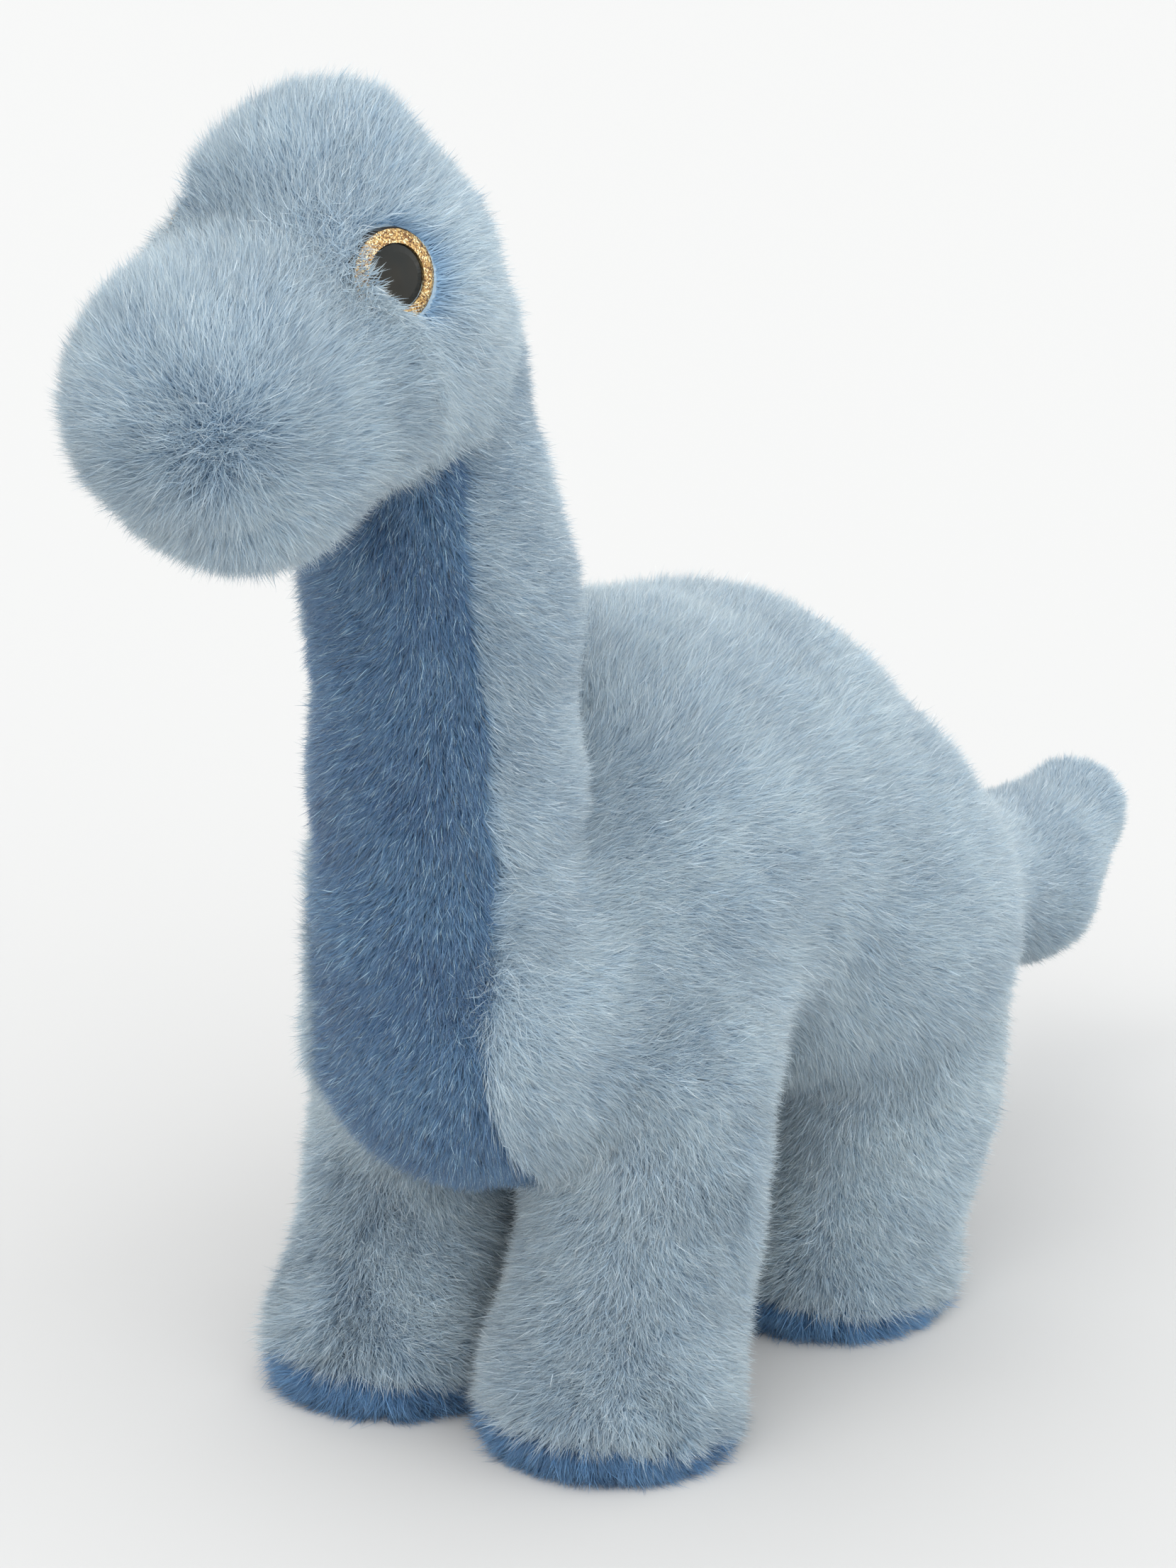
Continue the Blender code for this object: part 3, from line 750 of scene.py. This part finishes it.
def fibre_cells(shade, along):
    """Map places of a layer's vertices: the fibre's shade across, root to tip upward."""
    sides = np.append(np.tile((-0.004, 0.004), (len(along) - 1) // 2), 0.0)
    across = np.clip(shade, 0.01, 0.99)[:, None] + sides[None, :]
    upward = np.tile(0.01 + 0.98 * along, (len(shade), 1))
    return np.stack([across, upward], axis=2).reshape(-1, 2)


def fill_mesh(mesh, vertices, quads, triangles):
    """Gives a mesh its vertices, four-sided faces and three-sided faces."""
    corners = np.concatenate([quads.ravel(), triangles.ravel()])
    sizes = np.concatenate([np.full(len(quads), 4), np.full(len(triangles), 3)])
    starts = np.concatenate([[0], np.cumsum(sizes)[:-1]])
    mesh.vertices.add(len(vertices))
    mesh.vertices.foreach_set("co", vertices.astype(np.float32).ravel())
    mesh.loops.add(len(corners))
    mesh.loops.foreach_set("vertex_index", corners.astype(np.int32))
    mesh.polygons.add(len(sizes))
    mesh.polygons.foreach_set("loop_start", starts.astype(np.int32))
    mesh.update(calc_edges=True)
    mesh.shade_smooth()


def add_fibre_map(mesh, cells):
    """The texture map that the material reads."""
    corner = np.zeros(len(mesh.loops), np.int32)
    mesh.loops.foreach_get("vertex_index", corner)
    layer = mesh.uv_layers.new(name=FIBRE_MAP)
    layer.uv.foreach_set("vector", cells[corner].astype(np.float32).ravel())


# ---------------------------------------------------------------- eyes


def centre_of(node):
    low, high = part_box(node)
    return np.array((low + high) / 2)


EYES = []
for eye_side in ("left", "right"):
    eye_centre = centre_of(f"eye_{eye_side}_pupil")
    eye_axis = eye_centre - centre_of(f"eye_{eye_side}_washer")
    EYES.append((eye_centre, eye_axis / np.linalg.norm(eye_axis)))
EYE_CLEARING = 9.7 * MM
EYE_DEPTH = 25 * MM
LID_OVERHANG = 4.6 * MM
LID_REACH = 3.5 * MM
LID_RISE = 0.3


def around_eye(points, eye):
    """Each point's distance from an eye's axis, height along it and share on the snout's side."""
    centre, axis = eye
    offset = points - centre
    height = offset @ axis
    flat = offset - height[:, None] * axis
    across = np.linalg.norm(flat, axis=1)
    return across, height, np.clip(-(flat[:, 1] + 0.6 * flat[:, 2]) / across, 0, 1)


def away_from_eyes(points):
    """False where an eye sits; the fur grows closer to it on the snout's side."""
    keep = np.ones(len(points), bool)
    for eye in EYES:
        across, height, snoutward = around_eye(points, eye)
        keep &= (across > EYE_CLEARING - LID_OVERHANG * snoutward) | (height < -EYE_DEPTH)
    return keep


def eyelid(points):
    """One for the thicker, more upright fur that covers an eye's rim on the snout's side."""
    cover = np.zeros(len(points))
    for eye in EYES:
        across, height, snoutward = around_eye(points, eye)
        near = np.exp(-(np.maximum(across - EYE_CLEARING + LID_OVERHANG, 0) / LID_REACH) ** 2)
        cover += near * snoutward * (height > -EYE_DEPTH)
    return cover


# ---------------------------------------------------------------- materials


class Nodes:
    """Short helpers for one material's node tree."""

    def __init__(self, name):
        self.material = bpy.data.materials.new(name)
        self.material.use_nodes = True
        self.tree = self.material.node_tree
        self.tree.nodes.clear()
        self.shader = self.add("ShaderNodeBsdfPrincipled")
        self.output = self.add("ShaderNodeOutputMaterial")
        self.link(self.shader.outputs[0], self.output.inputs["Surface"])

    def add(self, kind, **values):
        node = self.tree.nodes.new(kind)
        for key, value in values.items():
            if hasattr(node, key):
                setattr(node, key, value)
            else:
                node.inputs[key.replace("_", " ")].default_value = value
        return node

    def link(self, source, target):
        self.tree.links.new(source, target)

    def ramp(self, factor, stops):
        node = self.add("ShaderNodeValToRGB")
        elements = node.color_ramp.elements
        while len(elements) < len(stops):
            elements.new(0.5)
        for element, (position, colour) in zip(elements, stops):
            element.position = position
            element.color = (*colour, 1)
        self.link(factor, node.inputs["Fac"])
        return node.outputs["Color"]

    def mix(self, blend_type, factor, first, second):
        node = self.add("ShaderNodeMix", data_type="RGBA", blend_type=blend_type)
        for value, socket in ((factor, node.inputs[0]), (first, node.inputs[6]), (second, node.inputs[7])):
            if isinstance(value, bpy.types.NodeSocket):
                self.link(value, socket)
            elif isinstance(value, tuple):
                socket.default_value = (*value, 1)
            else:
                socket.default_value = value
        return node.outputs[2]

    def bands(self, place, direction, scale, distortion):
        node = self.add("ShaderNodeTexWave", wave_type="BANDS", bands_direction=direction,
                        Scale=scale, Distortion=distortion)
        self.link(place, node.inputs["Vector"])
        return node

    def noise(self, scale, detail=2.0):
        place = self.add("ShaderNodeTexCoord").outputs["Object"]
        node = self.add("ShaderNodeTexNoise", Scale=scale, Detail=detail)
        self.link(place, node.inputs["Vector"])
        return node.outputs["Fac"]


def scaled(colour, factor):
    return tuple(min(1.0, channel * factor) for channel in colour)


def pile_material(name, stops, shades, gloss, shine, through):
    """Fibre deep at the root and pale at the tip, partly the dye and partly painted shade down in the
    pile; each fibre a little different.

    The fibre map gives the shade across and root to tip upward. Light also passes through.
    """
    nodes = Nodes(name)
    cell = nodes.add("ShaderNodeUVMap", uv_map=FIBRE_MAP).outputs["UV"]
    split = nodes.add("ShaderNodeSeparateXYZ")
    nodes.link(cell, split.inputs[0])
    colour = nodes.ramp(split.outputs["Y"], stops)
    fibre = nodes.ramp(split.outputs["X"], shades)
    colour = nodes.mix("MULTIPLY", 1.0, colour, fibre)
    nodes.link(colour, nodes.shader.inputs["Base Color"])
    nodes.shader.inputs["Roughness"].default_value = gloss
    nodes.shader.inputs["Specular IOR Level"].default_value = shine
    nodes.shader.inputs["Sheen Weight"].default_value = 0.2
    nodes.shader.inputs["Sheen Roughness"].default_value = 0.4
    glow = nodes.add("ShaderNodeBsdfTranslucent")
    nodes.link(colour, glow.inputs["Color"])
    blend = nodes.add("ShaderNodeMixShader")
    blend.inputs["Fac"].default_value = through
    nodes.link(nodes.shader.outputs[0], blend.inputs[1])
    nodes.link(glow.outputs[0], blend.inputs[2])
    nodes.link(blend.outputs[0], nodes.output.inputs["Surface"])
    return nodes.material


def backing_material(name, colour):
    """Knitted backing cloth between the fibre roots."""
    nodes = Nodes(name)
    place = nodes.add("ShaderNodeTexCoord").outputs["Object"]
    courses = nodes.bands(place, "Z", 320.0, 2.0)
    wales = nodes.bands(place, "X", 260.0, 2.0)
    knit = nodes.mix("MULTIPLY", 1.0, courses.outputs["Color"], wales.outputs["Color"])
    shade = nodes.ramp(knit, [(0.0, scaled(colour, 0.7)), (1.0, colour)])
    nodes.link(shade, nodes.shader.inputs["Base Color"])
    nodes.shader.inputs["Roughness"].default_value = 0.95
    bump = nodes.add("ShaderNodeBump", Strength=0.4, Distance=0.0004)
    nodes.link(knit, bump.inputs["Height"])
    nodes.link(bump.outputs["Normal"], nodes.shader.inputs["Normal"])
    return nodes.material


# Colours from root to tip, and how much single fibres differ. The deep roots are partly the dye and partly
# painted shade down in the pile.
LIGHT_STOPS = [
    (0.0, (0.27, 0.45, 0.65)),
    (0.45, (0.42, 0.565, 0.695)),
    (0.8, (0.53, 0.635, 0.705)),
    (1.0, (0.62, 0.695, 0.725)),
]
DARK_STOPS = [(0.0, (0.035, 0.095, 0.20)), (0.5, (0.068, 0.175, 0.34)), (1.0, (0.16, 0.29, 0.46))]
SOLE_STOPS = [(0.0, (0.05, 0.15, 0.34)), (0.5, (0.11, 0.26, 0.49)), (1.0, (0.21, 0.38, 0.59))]
# Glitter flakes from dark to bright: painted shade and painted glints of single flakes
GOLD_STOPS = [
    (0.0, (0.06, 0.025, 0.008)),
    (0.35, (0.24, 0.11, 0.03)),
    (0.75, (0.62, 0.40, 0.14)),
    (1.0, (1.0, 0.86, 0.52)),
]
PUPIL_STOPS = [(0.3, (0.006, 0.008, 0.007)), (0.7, (0.016, 0.013, 0.008))]
CAP_STOPS = [(0.3, (0.008, 0.008, 0.009)), (0.7, (0.014, 0.013, 0.012))]
NYLON_STOPS = [(0.3, (0.72, 0.72, 0.68)), (0.7, (0.80, 0.80, 0.76))]
THREAD_STOPS = [(0.0, (0.10, 0.15, 0.22)), (1.0, (0.26, 0.34, 0.44))]
LIGHT_SHADES = [
    (0.0, (0.52, 0.58, 0.65)),
    (0.5, (1.0, 1.0, 1.0)),
    (0.94, (1.26, 1.21, 1.15)),
    (0.98, (1.6, 1.45, 1.35)),
]
# The two top stops are painted glints: the palest dark fibres turn nearly white, as sparkles of light
DARK_SHADES = [
    (0.0, (0.42, 0.50, 0.62)),
    (0.5, (1.0, 1.0, 1.0)),
    (0.94, (1.6, 1.45, 1.25)),
    (0.98, (4.6, 3.1, 2.1)),
]


def finish_of(name):
    if name.endswith("sole"):
        return "sole"
    return "dark" if is_dark(name) else "light"


def make_finishes():
    return {
        "light": (backing_material("light_backing", LIGHT_STOPS[1][1]),
                  pile_material("light_pile", LIGHT_STOPS, LIGHT_SHADES, 0.6, 0.3, 0.3)),
        "dark": (backing_material("dark_backing", DARK_STOPS[1][1]),
                 pile_material("dark_pile", DARK_STOPS, DARK_SHADES, 0.28, 0.6, 0.2)),
        "sole": (backing_material("sole_backing", SOLE_STOPS[1][1]),
                 pile_material("sole_pile", SOLE_STOPS, LIGHT_SHADES, 0.5, 0.3, 0.3)),
    }


def glitter_material():
    """Gold flakes under clear lacquer; each flake's colour runs from nearly black to pale gold, painted
    shade and painted glints of flakes turned from and toward the light.
    """
    nodes = Nodes("gold_glitter")
    place = nodes.add("ShaderNodeTexCoord").outputs["Object"]
    flakes = nodes.add("ShaderNodeTexVoronoi", Scale=3600.0)
    nodes.link(place, flakes.inputs["Vector"])
    tone = nodes.add("ShaderNodeSeparateXYZ")
    nodes.link(flakes.outputs["Color"], tone.inputs[0])
    nodes.link(nodes.ramp(tone.outputs["X"], GOLD_STOPS), nodes.shader.inputs["Base Color"])
    nodes.shader.inputs["Metallic"].default_value = 0.6
    nodes.shader.inputs["Roughness"].default_value = 0.4
    nodes.shader.inputs["Coat Weight"].default_value = 0.3
    nodes.shader.inputs["Coat Roughness"].default_value = 0.1
    bump = nodes.add("ShaderNodeBump", Strength=0.5, Distance=0.0002)
    nodes.link(tone.outputs["Y"], bump.inputs["Height"])
    nodes.link(bump.outputs["Normal"], nodes.shader.inputs["Normal"])
    return nodes.material


def moulded_material(name, stops, roughness, shine, grain):
    """Moulded plastic with faint clouding and hairline wear of a given grain in each metre."""
    nodes = Nodes(name)
    clouds = nodes.noise(grain / 8)
    nodes.link(nodes.ramp(clouds, stops), nodes.shader.inputs["Base Color"])
    nodes.shader.inputs["Roughness"].default_value = roughness
    nodes.shader.inputs["Specular IOR Level"].default_value = shine
    bump = nodes.add("ShaderNodeBump", Strength=0.05, Distance=0.0001)
    nodes.link(nodes.noise(grain), bump.inputs["Height"])
    nodes.link(bump.outputs["Normal"], nodes.shader.inputs["Normal"])
    return nodes.material


def thread_material():
    """Plies of grey-blue sewing thread wound over the knot."""
    nodes = Nodes("grey_thread")
    place = nodes.add("ShaderNodeTexCoord").outputs["Object"]
    plies = nodes.bands(place, "DIAGONAL", 700.0, 3.0)
    nodes.link(nodes.ramp(plies.outputs["Fac"], THREAD_STOPS), nodes.shader.inputs["Base Color"])
    nodes.shader.inputs["Roughness"].default_value = 0.8
    bump = nodes.add("ShaderNodeBump", Strength=0.6, Distance=0.0003)
    nodes.link(plies.outputs["Fac"], bump.inputs["Height"])
    nodes.link(bump.outputs["Normal"], nodes.shader.inputs["Normal"])
    return nodes.material


def finish_hardware():
    """Better materials for the CAD parts that keep their shape."""
    finishes = {
        "glitter_ring": glitter_material(),
        "pupil": moulded_material("pupil_glass", PUPIL_STOPS, 0.12, 0.25, 900.0),
        "cap_and_shank": moulded_material("cap_plastic", CAP_STOPS, 0.30, 0.40, 1500.0),
        "washer": moulded_material("washer_nylon", NYLON_STOPS, 0.45, 0.50, 1200.0),
        "stitch": thread_material(),
    }
    for name, node in frame["nodes"].items():
        for ending, material in finishes.items():
            if name.endswith(ending):
                node.data.materials.clear()
                node.data.materials.append(material)


# ---------------------------------------------------------------- building


def follow(obj, name):
    """Attaches a head panel to the head and a body or belly panel to the torso; the other panels keep
    their place, drawn into their mesh.
    """
    if name in HEAD_PANELS:
        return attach(obj, "head")
    if name.startswith("body") or name == "belly":
        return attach(obj, "torso")
    if name.endswith("lower"):
        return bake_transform(obj)
    if name.endswith("upper"):
        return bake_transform(obj)
    if name.startswith("tail"):
        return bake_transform(obj)
    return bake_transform(obj)


def link_object(name, mesh, material):
    mesh.materials.append(material)
    obj = bpy.data.objects.new(name, mesh)
    bpy.context.scene.collection.objects.link(obj)
    return obj


STANDS_FOR = {
    "belly": ["belly_panel", "body_stuffing"],
    "body_left_front": ["body_left_panel"],
    "body_left_rear": ["body_left_panel"],
    "body_right_front": ["body_right_panel"],
    "body_right_rear": ["body_right_panel"],
    "throat_lower": ["throat_panel", "neck_stuffing"],
    "throat_upper": ["throat_panel"],
    "neck_left_lower": ["neck_left_panel"],
    "neck_left_upper": ["neck_left_panel"],
    "neck_right_lower": ["neck_right_panel"],
    "neck_right_upper": ["neck_right_panel"],
    "crown": ["crown_gusset"],
    "head_left": ["head_left_panel"],
    "head_right": ["head_right_panel"],
    "muzzle": ["muzzle_panel", "head_stuffing"],
    "chin": ["chin_panel"],
    "tail_left": ["tail_left_panel", "tail_stuffing"],
    "tail_right": ["tail_right_panel"],
}


def nodes_for(name):
    if name in STANDS_FOR:
        return STANDS_FOR[name]
    if name.endswith("sole"):
        return [name]
    if name.endswith("outer"):
        return [f"{name}_panel", name.replace("outer", "stuffing")]
    return [f"{name}_panel"]


def backing_mesh(name, places, faces):
    used = sorted({index for face in faces for index in face})
    renumber = {index: position for position, index in enumerate(used)}
    mesh = bpy.data.meshes.new(name)
    mesh.from_pydata(places[used].tolist(), [], [[renumber[i] for i in face] for face in faces])
    mesh.shade_smooth()
    return mesh


def build_plush():
    finishes = make_finishes()
    places, panels = sewn_surface()
    normals = slope(places)
    for order, name in enumerate(sorted(panels)):
        faces = panels[name]
        backing_finish, pile_finish = finishes[finish_of(name)]
        backing = link_object(f"{name}_backing", backing_mesh(name, places, faces), backing_finish)
        follow(backing, name)
        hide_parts(*nodes_for(name))
        rng = np.random.default_rng(order + 11)
        creases = seam_nearness(places, faces) if name in HEAD_PANELS else np.zeros(len(places))
        panel = (places, normals, creases, faces)
        pile = link_object(f"{name}_pile", pile_mesh(name, panel, rng), pile_finish)
        follow(pile, name)


# ---------------------------------------------------------------- stage

AZIMUTH = math.radians(34.5)
ELEVATION = math.radians(19.15)
CAMERA_DISTANCE = 1.2
CAMERA_TARGET = Vector((0, -0.032, 0.1316))
LENS = 86.58
SENSOR_HEIGHT = 24.0
FLOOR_GREY = 0.555

# Soft lights: azimuth and elevation in degrees, strength, spread in degrees, colour
SUNS = (
    ("key", 5, 52, 1.2, 60, (1.0, 0.98, 0.94)),
    ("front_fill", 52, 3, 1.0, 80, (0.94, 0.985, 1.0)),
    ("right_fill", 100, 8, 1.9, 110, (0.94, 0.985, 1.0)),
    ("back_fill", 215, 14, 1.7, 110, (0.97, 0.99, 1.0)),
    ("left_fill", -45, 5, 0.5, 90, (0.97, 0.99, 1.0)),
)


def add_camera():
    right = Vector((math.cos(AZIMUTH), math.sin(AZIMUTH), 0))
    back = Vector((math.sin(AZIMUTH) * math.cos(ELEVATION), -math.cos(AZIMUTH) * math.cos(ELEVATION),
                   math.sin(ELEVATION)))
    up = back.cross(right)
    data = bpy.data.cameras.new("camera")
    data.sensor_fit = "VERTICAL"
    data.sensor_height = SENSOR_HEIGHT
    data.lens = LENS
    camera = bpy.data.objects.new("camera", data)
    bpy.context.scene.collection.objects.link(camera)
    turn = Matrix((right, up, back)).transposed().to_4x4()
    camera.matrix_world = Matrix.Translation(CAMERA_TARGET + back * CAMERA_DISTANCE) @ turn
    bpy.context.scene.camera = camera


def add_sun(name, azimuth, elevation, strength, spread, colour):
    data = bpy.data.lights.new(name, "SUN")
    data.energy = strength
    data.angle = math.radians(spread)
    data.color = colour
    light = bpy.data.objects.new(name, data)
    bpy.context.scene.collection.objects.link(light)
    a, e = math.radians(azimuth), math.radians(elevation)
    source = Vector((math.sin(a) * math.cos(e), -math.cos(a) * math.cos(e), math.sin(e)))
    light.rotation_mode = "QUATERNION"
    light.rotation_quaternion = source.to_track_quat("Z", "Y")


def add_stage():
    scene = bpy.context.scene
    scene.view_settings.view_transform = "Standard"
    world = bpy.data.worlds.new("studio")
    world.use_nodes = True
    world.node_tree.nodes["Background"].inputs["Color"].default_value = (0.93, 0.93, 0.93, 1)
    world.node_tree.nodes["Background"].inputs["Strength"].default_value = 1.0
    scene.world = world
    for name, *settings in SUNS:
        add_sun(name, *settings)
    bm = bmesh.new()
    bmesh.ops.create_grid(bm, x_segments=2, y_segments=2, size=6)
    mesh = bpy.data.meshes.new("floor")
    bm.to_mesh(mesh)
    bm.free()
    nodes = Nodes("floor")
    nodes.shader.inputs["Base Color"].default_value = (FLOOR_GREY, FLOOR_GREY, FLOOR_GREY, 1)
    nodes.shader.inputs["Roughness"].default_value = 1.0
    nodes.shader.inputs["Specular IOR Level"].default_value = 0.0
    link_object("floor", mesh, nodes.material)


build_plush()
finish_hardware()
add_camera()
add_stage()
